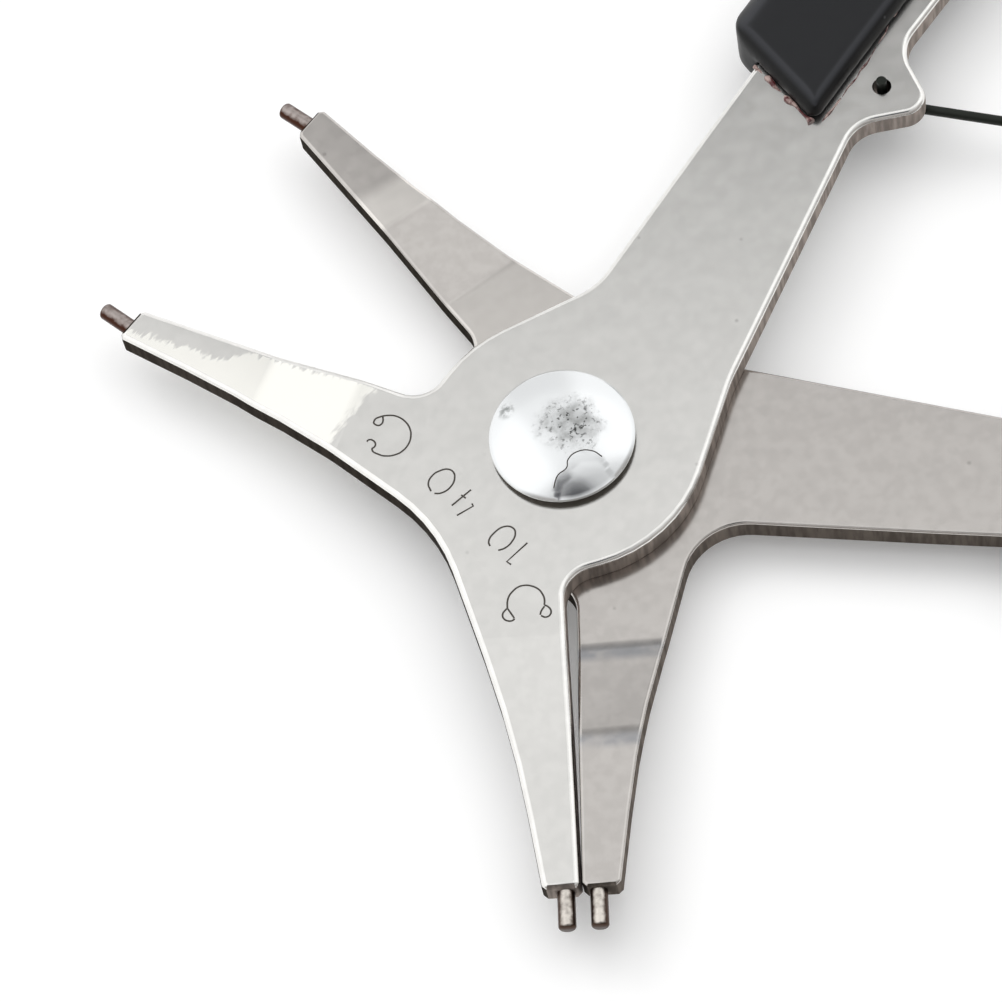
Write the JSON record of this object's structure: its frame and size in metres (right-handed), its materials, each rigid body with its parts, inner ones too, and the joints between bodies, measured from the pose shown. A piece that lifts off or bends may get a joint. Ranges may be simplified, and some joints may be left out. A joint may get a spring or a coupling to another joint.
{
  "type": "circlip pliers",
  "caption": "Flat pressed-steel circlip pliers whose plates cross on a domed rivet, with pin-tipped internal and external jaws, moulded black grips and a wire return spring.",
  "frame": {"origin": "centre of the rivet's foot, on the pivot axis, level with the undersides of the rear grip", "axes": "+Z along the pivot axis towards the rivet's domed head, +X along the bisector of the open handles"},
  "size_m": [0.1364, 0.1274, 0.0093],
  "materials": {
    "plate_steel": "satin nickel plate on pressed steel",
    "rivet_steel": "bright plated, hammered on top",
    "pin_steel": "turned, bare",
    "grip_plastic": "moulded black vinyl with a soft gloss",
    "spring_wire": "black oiled spring wire"
  },
  "bodies": {
    "rear_lever": {"rear_plate": "plate_steel", "rear_internal_pin": "pin_steel", "rear_external_pin": "pin_steel", "rear_grip": "grip_plastic", "pivot_rivet": "rivet_steel", "return_spring": "spring_wire"},
    "front_lever": {"front_plate": "plate_steel", "front_internal_pin": "pin_steel", "front_external_pin": "pin_steel", "front_grip": "grip_plastic"}
  },
  "joints": [
    {"name": "pivot", "type": "hinge", "parent": "rear_lever", "child": "front_lever", "pos_m": [0, 0, 0.0057], "axis": [0, 0, -1], "range_deg": [0, 31], "stiffness_Nm_per_rad": 0.35, "springref_deg": -17.19, "deforming": ["return_spring"]}
  ]
}
